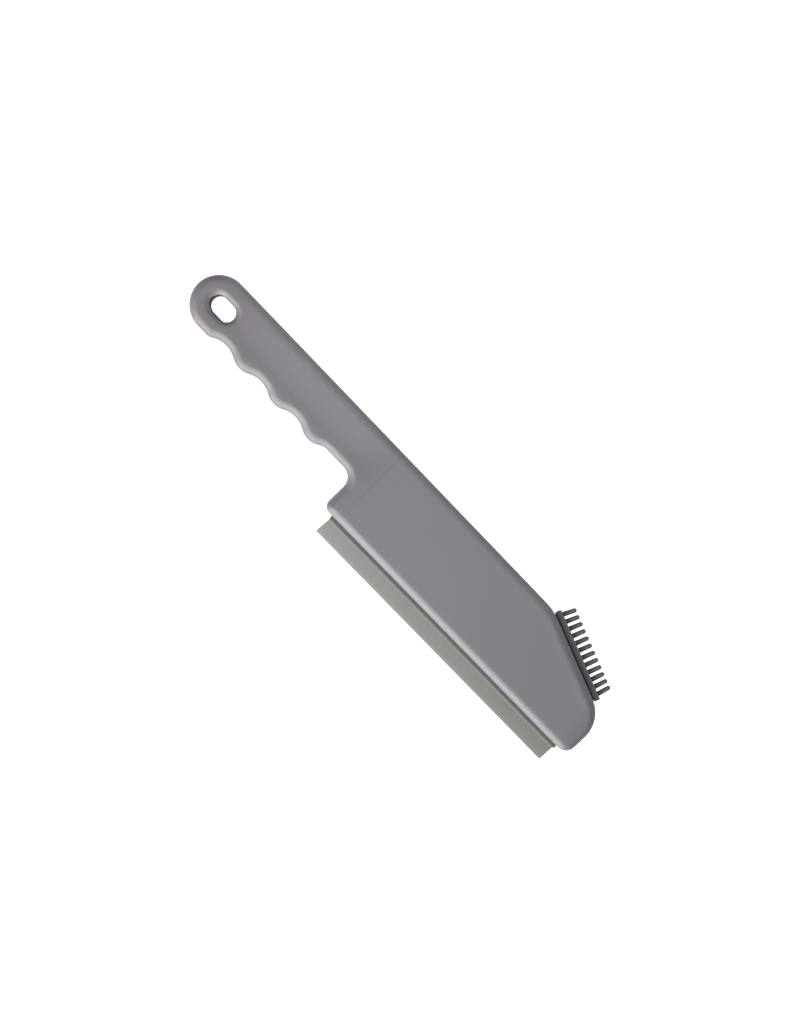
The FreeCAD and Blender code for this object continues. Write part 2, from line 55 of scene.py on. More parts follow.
GROOVES = 3
GROOVE_START = 28.9
GROOVE_PITCH = 22.6
GROOVE_DEPTH = 3.0
GROOVE_RADIUS = 12.9
HEEL_RADIUS = 4.4
LAST_RADIUS = 7.0
FLAT_STRETCH = 11.1
GUARD_FILLET = 7.05
GUARD_CORNER = 3.4

SLOPE_ANGLE = 19.8
SLOPE_LENGTH = 42.5
SHOULDER_RADIUS = 29.0
NOSE_RADIUS = 16.4
NOSE_CORNER = 5.5

SLOT_LENGTH = 13.8
SLOT_WIDTH = 8.8
SLOT_PLACE = 16.0
SLOT_DISH = 3.0
SLOT_STEPS = 8

HOLLOW_DEPTH = 0.78
HOLLOW_LIP = 0.35
HOLLOW_FROM_SPINE = 16.25
LIP_WIDTH = 6.0
HOLLOW_BEND = 6.0
HOLLOW_START = 8.0
HOLLOW_FULL = 42.0
HOLLOW_ENDS = 9.0
HOLLOW_GONE = 8.0

SCREW_HEAD = 5.6
SCREW_HEAD_HEIGHT = 2.0
SCREW_SEAT = 3.6        # rear face to the face the head bears on
SCREW_SHANK = 3.0
SCREW_LENGTH = 8.0
SCREW_CROWN = 0.8       # rounding of the head's edge
SCREW_POINT = 0.3       # share of the shank's width that is left at its point
SCREW_TURN = 37         # degrees that each cross stands round from the one before
RECESS = 6.4
RECESS_EDGE = 0.25
RECESS_STEPS = 4
RECESS_RING = 0.3       # ring of faces round the foot of a recess
CROSS_WIDTH = 0.9
CROSS_REACH = 1.68
CROSS_DEPTH = 1.1
CROSS_TAPER = 0.72      # share of the cross's width that is left at its foot
SCREW_FROM_SPINE = 10.0
SCREW_FROM_EDGE = 14.0
SCREW_FROM_GUARD = 15.0
SCREW_FROM_NOSE = 17.0

WALL = 2.2
FIT_GAP = 0.15
CARRIER_FROM_GUARD = 6.0
CARRIER_FROM_NOSE = 6.15
CARRIER_SHOWS = 1.95    # strip below the lower edge
CARRIER_FOOT = 5.4
CARRIER_NECK = 4.7
CARRIER_HEAD = 8.5
CARRIER_HEAD_HEIGHT = 4.1
CARRIER_SETBACK = 3.0
CARRIER_EDGE = 0.3
BLADE_SHOWS = 8.7
BLADE_ROOT = 2.2
BLADE_TIP = 1.3
BLADE_INSET_HANDLE = 0.3
BLADE_INSET_NOSE = 0.4
BLADE_FLARE = 0.55
BLADE_BEVEL = 1.3       # height of the bevel at the wiping edge
BLADE_BEVEL_DEPTH = 0.2
BEAD_WIDTH = 4.0
BEAD_HEIGHT = 1.6
GRIP_WALL = 1.2
RUBBER_GAP = 0.05

COMB_LENGTH = 47.1
COMB_OVERHANG = 1.95    # past the end of the straight slope, at the nose
COMB_HEIGHT = 3.45
COMB_DEPTH = 4.0
COMB_EDGE = 0.35
SEAT_HEIGHT = 0.6
TEETH = 12
TOOTH_PITCH = 3.88
TOOTH_LENGTH = 6.95
TOOTH_ROOT = 2.4
TOOTH_TIP = 2.2
TOOTH_SINK = 0.6
TOOTH_FILLET = 0.22
FIRST_TOOTH = 2.05
END_LEAN = 5.5
TOOTH_SIDES = 28

LIP_FROM = 7.8          # the face rises from this far in to the rounding beside the comb
LIP_RISE = 0.14
LIP_LINES = (4.9, 5.4, 6.0, 6.8, LIP_FROM)      # cuts that let the face rise, in from the slope
LIP_RUN_OUT = 4.0       # past the slope's upper end
LIP_RUN_OUT_NOSE = 6.0  # past its lower end
LIP_FADE = 8.0
CREASE_DEPTH = 0.035    # faint sink mark across the body beside the guard
CREASE_FROM_GUARD = 8.4
CREASE_SPREAD = 1.3
CREASE_REACH = 3.4      # its painted shade and painted highlight end here, on both sides
CREASE_WAVE = 4.27      # from one painted dark line to the next

ARC_CHORD = 0.75        # longest chord on an arc
ARC_TURN = 6.0          # most degrees to a chord
ARC_LEAST_TURN = 1.5    # fewest degrees to a chord
SAME_POINT = 0.02       # drawn points nearer than this are one
CLOSING = 0.06          # the guard's corner is gathered this far before its rounding closes it
GATHER_REACH = 0.35
GRID_X = 2.6            # cuts across the handle, so that its hollow can be pressed in
GRID_Y = 1.5
CREASE_GRID = 0.8
SHOULDER_GRID = 2.0
SMALL_BEVEL = 0.12      # edge of the rubber pieces

# ---- places worked out from the frame -------------------------------------
shell_low, shell_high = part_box("front_shell")
rear_low, rear_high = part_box("rear_shell")
AXIS_Y = shell_high.y / MM - HANDLE_WIDTH / 2      # handle's middle line
PARTING = rear_high.z / MM
TOP = shell_high.z / MM
HALF = TOP - PARTING
END_X = shell_low.x / MM
NOSE_X = shell_high.x / MM
SPINE_Y = HANDLE_WIDTH / 2
CREST_Y = -HANDLE_WIDTH / 2
VALLEY_Y = CREST_Y + GROOVE_DEPTH
LOWER_Y = shell_low.y / MM - AXIS_Y
FIRST_GROOVE_X = END_X + GROOVE_START
LAST_CREST_X = FIRST_GROOVE_X + (GROOVES - 0.5) * GROOVE_PITCH
CREST_RADIUS = (GROOVE_PITCH ** 2 / 4 + GROOVE_DEPTH ** 2) / (2 * GROOVE_DEPTH) - GROOVE_RADIUS
GROOVE_HALF_TURN = math.degrees(math.asin(GROOVE_PITCH / 2 / (GROOVE_RADIUS + CREST_RADIUS)))
HEEL_TURN = math.degrees(math.acos(1 - GROOVE_DEPTH / (GROOVE_RADIUS + HEEL_RADIUS)))
HEEL_X = FIRST_GROOVE_X - (GROOVE_RADIUS + HEEL_RADIUS) * math.sin(math.radians(HEEL_TURN))
LAST_TURN = math.degrees(math.acos(1 - GROOVE_DEPTH / (CREST_RADIUS + LAST_RADIUS)))
FLAT_X = LAST_CREST_X + (CREST_RADIUS + LAST_RADIUS) * math.sin(math.radians(LAST_TURN))
GUARD_X = FLAT_X + FLAT_STRETCH + GUARD_FILLET
BODY_X = GUARD_X + HOLLOW_GONE
SLOPE = math.radians(SLOPE_ANGLE)
NOSE_CENTRE_X = NOSE_X - NOSE_RADIUS
NOSE_CENTRE_Y = (SPINE_Y - SHOULDER_RADIUS * (1 - math.cos(SLOPE)) - SLOPE_LENGTH * math.sin(SLOPE)
                 - NOSE_RADIUS * math.cos(SLOPE))
SLOPE_END_X = NOSE_CENTRE_X + NOSE_RADIUS * math.sin(SLOPE)
SLOPE_END_Y = NOSE_CENTRE_Y + NOSE_RADIUS * math.cos(SLOPE)
SHOULDER_X = SLOPE_END_X - SLOPE_LENGTH * math.cos(SLOPE) - SHOULDER_RADIUS * math.sin(SLOPE)
SLOT_X = END_X + SLOT_PLACE
SLOT_REACH = (SLOT_LENGTH - SLOT_WIDTH) / 2        # from the slot's middle to the centre of each round end
CREASE_X = GUARD_X + CREASE_FROM_GUARD
CARRIER_X0 = GUARD_X + CARRIER_FROM_GUARD
CARRIER_X1 = NOSE_X - CARRIER_FROM_NOSE
CARRIER_BOTTOM = LOWER_Y - CARRIER_SHOWS
WIPING_Y = CARRIER_BOTTOM - BLADE_SHOWS
HEAD_Y = LOWER_Y + WALL + FIT_GAP
CRESTS = [FIRST_GROOVE_X + (i + 0.5) * GROOVE_PITCH for i in range(GROOVES)]
SCREW_PLACES = [
    (CRESTS[0], 0), (CRESTS[-1], 0),
    (GUARD_X + SCREW_FROM_GUARD, SPINE_Y - SCREW_FROM_SPINE),
    (GUARD_X + SCREW_FROM_GUARD, LOWER_Y + SCREW_FROM_EDGE),
    (SHOULDER_X, SPINE_Y - SCREW_FROM_SPINE),
    (NOSE_X - SCREW_FROM_NOSE, LOWER_Y + SCREW_FROM_EDGE)]


# ---- small helpers --------------------------------------------------------
def place(x, y, z):
    """A point given in millimetres from the handle's middle line, in the row frame."""
    return Vector((x, y + AXIS_Y, z)) * MM


def row_y(y):
    """A height given in millimetres from the handle's middle line, in the row frame."""
    return (y + AXIS_Y) * MM


def on_slope(along, up):
    """Handle-frame place of a point given along the nose slope from its lower end, and square to it."""
    return (SLOPE_END_X + along * math.cos(SLOPE) + up * math.sin(SLOPE),
            SLOPE_END_Y - along * math.sin(SLOPE) + up * math.cos(SLOPE))


def deselect():
    bpy.ops.object.select_all(action="DESELECT")


def only(piece):
    deselect()
    piece.select_set(True)
    bpy.context.view_layer.objects.active = piece


def edit(piece):
    only(piece)
    bpy.ops.object.mode_set(mode="EDIT")


def done():
    bpy.ops.object.mode_set(mode="OBJECT")
    return bpy.context.view_layer.objects.active


def start_at(point):
    """Begin a new piece, in edit mode, from a single point."""
    deselect()
    bpy.ops.mesh.primitive_plane_add(size=MM, location=point)
    bpy.ops.object.transform_apply(location=True, rotation=True, scale=True)
    bpy.ops.object.mode_set(mode="EDIT")
    bpy.ops.mesh.select_mode(type="VERT")
    bpy.ops.mesh.select_all(action="SELECT")
    bpy.ops.mesh.merge(type="CENTER")


def copied(piece, location, turn):
    """A copy with its own mesh, turned by an angle about z and put in its place."""
    only(piece)
    bpy.ops.object.duplicate()
    copy = bpy.context.view_layer.objects.active
    copy.location = location
    copy.rotation_euler.z = turn
    bpy.ops.object.transform_apply(location=True, rotation=True, scale=True)
    return copy


def joined(pieces):
    """One piece from several, under the first one's name."""
    deselect()
    for piece in pieces:
        piece.select_set(True)
    bpy.context.view_layer.objects.active = pieces[0]
    bpy.ops.object.join()
    return pieces[0]


def pick(kind, wanted):
    """In edit mode, select the faces, edges or verts for which wanted is true, and nothing else."""
    bpy.ops.mesh.select_mode(type=kind.upper())
    bpy.ops.mesh.select_all(action="DESELECT")
    mesh = bpy.context.edit_object.data
    bm = bmesh.from_edit_mesh(mesh)
    items = {"face": bm.faces, "edge": bm.edges, "vert": bm.verts}[kind]
    for item in items:
        if wanted(item):
            item.select_set(True)
    bm.select_flush_mode()
    bmesh.update_edit_mesh(mesh)


def push(x=0.0, y=0.0, z=0.0):
    """Extrude what is selected by a distance in millimetres."""
    bpy.ops.mesh.extrude_region_move(TRANSFORM_OT_translate={"value": (x * MM, y * MM, z * MM)})


def inset(thickness, depth=0.0):
    bpy.ops.mesh.inset(thickness=thickness * MM, depth=depth * MM, use_even_offset=True,
                       use_relative_offset=False)


def merge(distance):
    bpy.ops.mesh.remove_doubles(threshold=distance * MM)


def outwards():
    bpy.ops.mesh.select_all(action="SELECT")
    bpy.ops.mesh.normals_make_consistent(inside=False)


def quarter_turn(radius, steps):
    """The chords of a quarter circle, from upright to level: how far each goes sideways, and up."""
    for step in range(steps):
        a0 = math.pi / 2 * step / steps
        a1 = math.pi / 2 * (step + 1) / steps
        yield radius * (math.cos(a0) - math.cos(a1)), radius * (math.sin(a1) - math.sin(a0))


def spaced(start, stop, step):
    """Places from start to before stop, a step apart."""
    return [start + step * i for i in range(math.ceil((stop - start) / step))]


# ---- finishes -------------------------------------------------------------
class Wire:
    """A socket of a node tree, on which ordinary arithmetic works."""

    def __init__(self, tree, socket):
        self.tree, self.socket = tree, socket

    def maths(self, operation, first, second=0.0):
        return self.tree.node("ShaderNodeMath", {"operation": operation}, {0: first, 1: second})

    def __add__(self, other):
        return self.maths("ADD", self, other)

    def __sub__(self, other):
        return self.maths("SUBTRACT", self, other)

    def __rsub__(self, other):
        return self.maths("SUBTRACT", other, self)

    def __mul__(self, other):
        return self.maths("MULTIPLY", self, other)

    def __truediv__(self, other):
        return self.maths("DIVIDE", self, other)

    def __rtruediv__(self, other):
        return self.maths("DIVIDE", other, self)

    def __pow__(self, other):
        return self.maths("POWER", self, other)

    def __rpow__(self, other):
        return self.maths("POWER", other, self)

    __radd__ = __add__
    __rmul__ = __mul__

    def __abs__(self):
        return self.maths("ABSOLUTE", self)

    def cosine(self):
        return self.maths("COSINE", self)

    def ramp(self, start, end):
        """0 up to start, rising evenly to 1 at end. End may be the smaller of the two."""
        return self.tree.node("ShaderNodeClamp", {}, {"Value": (self - start) / (end - start)})


class Tree:
    """The nodes of a finish or of the world."""

    def __init__(self, node_tree):
        self.nodes, self.links = node_tree.nodes, node_tree.links

    def node(self, kind, settings, values, output=0):
        """Add a node with its settings, then the values or links of its inputs, and return an output."""
        node = self.nodes.new(kind)
        for key, value in settings.items():
            setattr(node, key, value)
        for key, value in values.items():
            if isinstance(value, Wire):
                self.links.new(value.socket, node.inputs[key])
            else:
                node.inputs[key].default_value = value
        return Wire(self, node.outputs[output])

    def seen_only(self, strength):
        """Strength where the camera looks straight at it, and 0 to light that bounces."""
        return self.node("ShaderNodeLightPath", {}, {}, "Is Camera Ray") * strength


class Finish(Tree):
    """A surface finish: one principled shader and the nodes that feed it."""

    def __init__(self, name, roughness, specular=0.5, metallic=0.0):
        self.material = bpy.data.materials.new(name)
        self.material.use_nodes = True
        super().__init__(self.material.node_tree)
        self.surface = next(node for node in self.nodes if node.type == "BSDF_PRINCIPLED")
        self.roughness = roughness
        self.surface.inputs["Roughness"].default_value = roughness
        self.surface.inputs["Specular IOR Level"].default_value = specular
        self.surface.inputs["Metallic"].default_value = metallic

    def feed(self, socket, wire):
        self.links.new(wire.socket, self.surface.inputs[socket])

    def spot(self):
        """Place on the piece, in metres."""
        return self.node("ShaderNodeTexCoord", {}, {}, "Object")

    def axes(self):
        """Place on the piece as three numbers, in millimetres from the handle's middle line."""
        spot = {"Vector": self.spot()}
        x, y, z = (self.node("ShaderNodeSeparateXYZ", {}, spot, axis) / MM for axis in "XYZ")
        return x, y - AXIS_Y, z

    def noise(self, size, detail=2.0, stretch=(1, 1, 1)):
        """Cloudy pattern from 0 to 1 whose lumps are about so many millimetres across."""
        spot = self.node("ShaderNodeMapping", {}, {"Vector": self.spot(), "Scale": stretch})
        values = {"Vector": spot, "Scale": 1 / (size * MM), "Detail": detail}
        return self.node("ShaderNodeTexNoise", {}, values)

    def mix(self, share, first, second):
        """Colour between two colours."""
        first, second = (value if isinstance(value, Wire) else (*value, 1) for value in (first, second))
        return self.node("ShaderNodeMix", {"data_type": "RGBA"}, {0: share, 6: first, 7: second}, 2)

    def colour(self, ground, *layers):
        """Lay colours over a ground colour one after another, each by a share from 0 to 1."""
        for share, layer in layers:
            ground = self.mix(share, ground, layer)
        self.feed("Base Color", ground)

    def rougher(self, extra):
        """Roughness that varies, from the finish's own upwards."""
        self.feed("Roughness", self.roughness + extra)

    def relief(self, height, depth):
        """Fine relief, in millimetres from the lowest to the highest."""
        values = {"Height": height, "Distance": depth * MM, "Strength": 1.0}
        self.feed("Normal", self.node("ShaderNodeBump", {}, values))


def scaled(colour, factor):
    return tuple(channel * factor for channel in colour)


MAUVE = (0.2090, 0.2005, 0.2245)
WARMER = (0.2130, 0.2045, 0.2240)
PINKER = (0.2010, 0.1835, 0.2050)
# colour of the painted highlight along the body's lower edge
LOWER_EDGE_HIGHLIGHT = (0.2340, 0.2320, 0.2420)
CARRIER_GREY = (0.127, 0.124, 0.119)
BLADE_GREY = (0.292, 0.285, 0.275)
RAIL_BLACK = (0.030, 0.028, 0.028)
# painted lighter than the rubber, standing in for light that the casing shades off the bar
COMB_GREY_PAINTED_LIGHTER = (0.163, 0.153, 0.152)
# teeth colours: painted shade at the roots, painted light at the tips
COMB_ROOT_SHADE = (0.016, 0.015, 0.015)
COMB_TIP_LIT = (0.1441, 0.1353, 0.1364)
ZINC = (0.55, 0.55, 0.57)


def moulded_plastic():
    """Satin mauve-grey, pinker at the handle's end; painted shade darkens it towards the nose, beside the
    guard and in lines across the crease, and painted light brightens the crease's lines between, the handle's
    spine rounding, the lower edge's highlight and the slot's rim.
    """
    finish = Finish("satin_mauve_plastic", 0.355)
    x, y, _ = finish.axes()
    grain = finish.noise(0.45, 3.0)
    clouds = finish.noise(26)
    # painted shade and painted highlight in alternate lines across the crease
    crease_painted_shading = abs(x - CREASE_X).ramp(CREASE_REACH, 0)
    wave = ((x - CREASE_X) * (2 * math.pi / CREASE_WAVE)).cosine() * 0.5 + 0.5
    # painted shade on the face beside the guard
    painted_shade_beside_guard = abs(x - GUARD_X + 1).ramp(13, 0) * y.ramp(10, 2)
    # painted light on the handle's spine rounding, where it faces away from the lamps
    painted_light_handle_spine = y.ramp(SPINE_Y - 4.5, SPINE_Y - 1.5) * x.ramp(-30, -50)
    # painted highlight along the rounding of the body's lower edge
    painted_highlight_lower_edge = y.ramp(LOWER_Y + 1.9, LOWER_Y + 1.1) * x.ramp(GUARD_X, GUARD_X + 6)
    from_slot = ((x - SLOT_X + SLOT_REACH) ** 2 + y * y) ** 0.5 - SLOT_WIDTH / 2
    # painted light in the shaded rim of the slot, on its handle-end side
    painted_light_slot_rim = from_slot.ramp(1.3, 0.2) * x.ramp(SLOT_X - 1, SLOT_X - 5)
    finish.colour(
        MAUVE,
        (x.ramp(-20, -80), WARMER),
        (x.ramp(-84, -108), PINKER),
        (clouds * 0.5, scaled(MAUVE, 1.04)),
        # painted shade and painted highlight across the crease
        (crease_painted_shading * wave * 0.8, scaled(MAUVE, 0.93)),
        (crease_painted_shading * (1 - wave) * 0.8, scaled(MAUVE, 1.07)),
        # painted shade: the face darkens towards the nose, and its end more
        (x.ramp(30, 110), scaled(MAUVE, 0.955)),
        (x.ramp(NOSE_X - 13, NOSE_X - 5), scaled(MAUVE, 0.88)),
        # painted shade beside the guard
        (painted_shade_beside_guard * 0.9, scaled(MAUVE, 0.92)),
        # painted light along the handle's spine
        (painted_light_handle_spine * 0.7, scaled(MAUVE, 1.2)),
        (painted_highlight_lower_edge, LOWER_EDGE_HIGHLIGHT),
        # painted light on the slot's shaded rim
        (painted_light_slot_rim, scaled(MAUVE, 1.8)),
        (grain.ramp(0.45, 0.905) * 0.12, scaled(MAUVE, 0.86)))
    finish.rougher(grain * 0.06 + clouds * 0.04)
    finish.relief(grain, 0.006)
    return finish.material


def extruded_plastic():
    """Dull dark grey, streaked along its length; painted shade darkens it next to the casing's edge, so it is
    paler towards its foot.
    """
    finish = Finish("dark_extruded_plastic", 0.44, 0.35)
    _, y, _ = finish.axes()
    streaks = finish.noise(0.5, 2.0, (0.02, 1, 1))
    dust = finish.noise(3.0, 3.0)
    finish.colour(
        scaled(CARRIER_GREY, 0.92),
        # painted shade: darker next to the casing's lower edge, paler towards the foot
        (y.ramp(LOWER_Y, CARRIER_BOTTOM), scaled(CARRIER_GREY, 1.2)),
        (streaks * 0.5 + dust * 0.2, scaled(CARRIER_GREY, 0.9)))
    finish.rougher(streaks * 0.14)
    finish.relief(streaks, 0.01)
    return finish.material


def blade_rubber():
    """Pale grey rubber with bloom and fine pores, darker towards the nose, with a painted highlight along its
    root under the carrier, scuffed at its wiping edge.
    """
    finish = Finish("soft_grey_rubber", 0.5, 0.3)
    x, y, _ = finish.axes()
    bloom = finish.noise(7.0, 3.0, (0.35, 1, 1))
    pores = finish.noise(0.35)
    drag = finish.noise(0.8, 2.0, (1, 0.05, 1))
    finish.colour(
        scaled(BLADE_GREY, 1.02),
        (x.ramp(-20, 130) ** 0.75, scaled(BLADE_GREY, 0.72)),
        (bloom * 0.3, scaled(BLADE_GREY, 0.93)),
        # painted highlight: a pale line along the blade's root just under the carrier
        (y.ramp(CARRIER_BOTTOM - 1.1, CARRIER_BOTTOM - 0.6) * 0.55, scaled(BLADE_GREY, 1.3)),
        (y.ramp(WIPING_Y + 1.6, WIPING_Y) * drag * 0.25, scaled(BLADE_GREY, 1.15)),
        (pores * 0.14, scaled(BLADE_GREY, 0.75)))
    finish.rougher(bloom * 0.1 + pores * 0.05)
    finish.relief(pores + bloom * 2.0, 0.012)
    return finish.material


def comb_rubber():
    """Charcoal rubber with dust and fine pores; the bar's grey is painted lighter for light the casing shades
    off it, the teeth carry painted shade at their roots and flanks and painted light along their crests, and
    the bar's upper rim carries a painted highlight.
    """
    finish = Finish("charcoal_rubber", 0.46, 0.35)
    x, y, z = finish.axes()
    up = (x - SLOPE_END_X) * math.sin(SLOPE) + (y - SLOPE_END_Y) * math.cos(SLOPE)
    dust = finish.noise(1.6, 3.0)
    pores = finish.noise(0.3)
    # painted shade at the teeth's roots and flanks, painted light towards their tips and along their crests
    painted_light_along_tooth = up.ramp(COMB_HEIGHT, COMB_HEIGHT + TOOTH_LENGTH / 1.7)
    painted_crest_light = abs(z - PARTING).ramp(TOOTH_ROOT / 15, TOOTH_ROOT * 0.4)
    # painted highlight along the bar's rounded upper rim
    painted_rim_highlight = up.ramp(COMB_HEIGHT - 0.6, COMB_HEIGHT - 0.1) * up.ramp(COMB_HEIGHT + 0.15, COMB_HEIGHT)
    finish.colour(
        COMB_GREY_PAINTED_LIGHTER,
        (up.ramp(COMB_HEIGHT, COMB_HEIGHT + 0.1),
         finish.mix(painted_light_along_tooth * (painted_crest_light * 0.75 + 0.25), COMB_ROOT_SHADE, COMB_TIP_LIT)),
        (painted_rim_highlight * 0.5, scaled(COMB_GREY_PAINTED_LIGHTER, 1.3)),
        (dust * 0.25, scaled(COMB_GREY_PAINTED_LIGHTER, 1.25)),
        (pores * 0.16, scaled(COMB_GREY_PAINTED_LIGHTER, 0.6)))
    finish.rougher(dust * 0.12)
    finish.relief(pores + dust, 0.012)
    return finish.material


def rail_plastic():
    """Black plastic with faint flow marks."""
    finish = Finish("black_rail_plastic", 0.42, 0.35)
    flow = finish.noise(0.9, 3.0, (0.3, 1, 1))
    finish.colour(RAIL_BLACK, (flow, scaled(RAIL_BLACK, 1.5)))
    finish.rougher(flow * 0.16)
    finish.relief(flow, 0.008)
    return finish.material


def zinc_steel():
    """Bright plating, stained and finely pitted."""
    finish = Finish("zinc_plated_steel", 0.24, 0.5, 1.0)
    stain = finish.noise(1.4, 3.0)
    pits = finish.noise(0.25)
    finish.colour(ZINC, (stain * 0.5, scaled(ZINC, 0.75)))
    finish.rougher(stain * 0.16 + pits * 0.08)
    finish.relief(pits, 0.006)
    return finish.material


FINISHES = {"shell": moulded_plastic(), "carrier": extruded_plastic(), "blade_rubber": blade_rubber(),
            "comb_rubber": comb_rubber(), "rail": rail_plastic(), "screw_steel": zinc_steel()}


def finish_piece(piece, name, slot_name, angle=50.0):
    only(piece)
    piece.name = name
    piece.data.name = name
    bpy.ops.object.shade_smooth_by_angle(angle=math.radians(angle))
    evened = piece.modifiers.new("evened", "WEIGHTED_NORMAL")
    evened.keep_sharp = True
    bpy.ops.object.modifier_apply(modifier="evened")
    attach(piece, "root")
    piece.data.materials.clear()
    piece.data.materials.append(FINISHES[slot_name])
    return piece


class Pen:
    """Draws an outline in a level plane, point by point, in edit mode."""

    def __init__(self, x, y, z):
        self.x, self.y, self.z = x, y, z
        start_at(place(x, y, z))

    def line(self, x, y):
        push(x - self.x, y - self.y)
        self.x, self.y = x, y

    def arc(self, x, y, turn):
        """Swing round a centre by degrees, anticlockwise seen from above."""
        radius = math.hypot(self.x - x, self.y - y)
        length = math.radians(abs(turn)) * radius
        steps = max(2, math.ceil(length / ARC_CHORD), math.ceil(abs(turn) / ARC_TURN))
        steps = min(steps, math.ceil(abs(turn) / ARC_LEAST_TURN))
        bpy.ops.mesh.spin(steps=steps, angle=-math.radians(turn), center=place(x, y, self.z), axis=(0, 0, 1))
        angle = math.atan2(self.y - y, self.x - x) + math.radians(turn)
        self.x, self.y = x + radius * math.cos(angle), y + radius * math.sin(angle)

    def close(self):
        bpy.ops.mesh.select_all(action="SELECT")
        merge(SAME_POINT)
        bpy.ops.mesh.edge_face_add()
        if bmesh.from_edit_mesh(bpy.context.edit_object.data).faces[:][0].normal.z < 0:
            bpy.ops.mesh.flip_normals()


# ---- casing ---------------------------------------------------------------
def casing_outline(z):
    pen = Pen(END_X + SPINE_Y, SPINE_Y, z)
    pen.arc(END_X + SPINE_Y, 0, 180)
    pen.line(HEEL_X, CREST_Y)
    pen.arc(HEEL_X, CREST_Y + HEEL_RADIUS, HEEL_TURN)
    for i in range(GROOVES):
        x = FIRST_GROOVE_X + i * GROOVE_PITCH
        turn_in = HEEL_TURN if i == 0 else GROOVE_HALF_TURN
        turn_out = LAST_TURN if i == GROOVES - 1 else GROOVE_HALF_TURN
        pen.arc(x, VALLEY_Y - GROOVE_RADIUS, -turn_in - GROOVE_HALF_TURN)
        pen.arc(x + GROOVE_PITCH / 2, CREST_Y + CREST_RADIUS, GROOVE_HALF_TURN + turn_out)
    pen.arc(FLAT_X, VALLEY_Y - LAST_RADIUS, -LAST_TURN)
    pen.line(GUARD_X - GUARD_FILLET, VALLEY_Y)
    pen.arc(GUARD_X - GUARD_FILLET, VALLEY_Y - GUARD_FILLET, -90)
    pen.line(GUARD_X, LOWER_Y + GUARD_CORNER)
    pen.arc(GUARD_X + GUARD_CORNER, LOWER_Y + GUARD_CORNER, 90)
    pen.line(NOSE_X - NOSE_CORNER, LOWER_Y)
    pen.arc(NOSE_X - NOSE_CORNER, LOWER_Y + NOSE_CORNER, 90)
    pen.line(NOSE_X, NOSE_CENTRE_Y)
    pen.arc(NOSE_CENTRE_X, NOSE_CENTRE_Y, 90 - SLOPE_ANGLE)
    pen.line(*on_slope(-SLOPE_LENGTH, 0))
    pen.arc(SHOULDER_X, SPINE_Y - SHOULDER_RADIUS, SLOPE_ANGLE)
    pen.line(END_X + SPINE_Y, SPINE_Y)
    pen.close()


def gather(x, y):
    """Draw a rim's points near a place into one, so that a tight corner can shrink past its centre."""
    top = max(v.co.z for v in bmesh.from_edit_mesh(bpy.context.edit_object.data).verts)
    centre = place(x, y, 0).xy
    pick("vert", lambda v: v.co.z > top - 1e-6 and (v.co.xy - centre).length < GATHER_REACH * MM)
    bpy.ops.mesh.merge(type="CENTER")
    pick("face", lambda f: f.normal.z > 0.99 and f.calc_center_median().z > top - 1e-6)


def round_rim():
    """Round the selected top face's rim in rings that shrink and rise."""
    drawn_in = 0.0
    closing = GUARD_CORNER - CLOSING
    for shrink, rise in quarter_turn(EDGE_ROUND, ROUND_STEPS):
        if drawn_in < closing < drawn_in + shrink:
            share = (closing - drawn_in) / shrink
            inset(shrink * share, rise * share)
            gather(GUARD_X + GUARD_CORNER, LOWER_Y + GUARD_CORNER)
            inset(shrink * (1 - share), rise * (1 - share))
        else:
            inset(shrink, rise)
        drawn_in += shrink
    gather(HEEL_X, CREST_Y + HEEL_RADIUS)
    inset(HOLD)


def slot_mouth():
    """Funnel and wall of the hanging slot, from the face down to the parting plane."""
    side = SLOT_WIDTH / 2 + SLOT_DISH + HOLD
    pen = Pen(SLOT_X - SLOT_REACH, side, TOP)
    pen.arc(SLOT_X - SLOT_REACH, 0, 180)
    pen.line(SLOT_X + SLOT_REACH, -side)
    pen.arc(SLOT_X + SLOT_REACH, 0, 180)
    pen.line(SLOT_X - SLOT_REACH, side)
    pen.close()
    inset(HOLD)
    for drop, inwards in quarter_turn(SLOT_DISH, SLOT_STEPS):
        inset(inwards, -drop)
    push(z=-(HALF - SLOT_DISH - SEAM_BEVEL))
    push(z=-SEAM_BEVEL)
    wider = (1 + 2 * SEAM_BEVEL / SLOT_LENGTH, 1 + 2 * SEAM_BEVEL / SLOT_WIDTH, 1)
    bpy.ops.transform.resize(value=wider, center_override=place(SLOT_X, 0, PARTING))
    bpy.ops.mesh.delete(type="ONLY_FACE")
    return done()


def screw_recess(x, y):
    """Round pocket for a screw's head, from the face down."""
    pen = Pen(x, y + RECESS / 2 + RECESS_EDGE + HOLD, TOP)
    pen.arc(x, y, 180)
    pen.arc(x, y, 180)
    pen.close()
    inset(HOLD)
    for drop, inwards in quarter_turn(RECESS_EDGE, RECESS_STEPS):
        inset(inwards, -drop)
    push(z=-(SCREW_SEAT - RECESS_EDGE))
    inset(RECESS_RING)
    return done()


def level_hole(level, tolerance=0.002):
    """Fill between all the open rims that lie in a level plane."""
    pick("edge", lambda e: e.is_boundary and all(abs(v.co.z / MM - level) < tolerance for v in e.verts))
    bpy.ops.mesh.fill(use_beauty=True)


def ease(share):
    share = min(1.0, max(0.0, share))
    return share * share * (3 - 2 * share)


def hollow_drop(y):
    up = y - (SPINE_Y - HOLLOW_FROM_SPINE)
    if up < 0:
        return HOLLOW_DEPTH - HOLLOW_LIP * ease(-up / LIP_WIDTH)
    slope = HOLLOW_DEPTH / (HOLLOW_FROM_SPINE - EDGE_ROUND - HOLLOW_BEND / 2)
    risen = slope * up * up / 2 / HOLLOW_BEND if up < HOLLOW_BEND else slope * (up - HOLLOW_BEND / 2)
    return max(0.0, HOLLOW_DEPTH - risen)


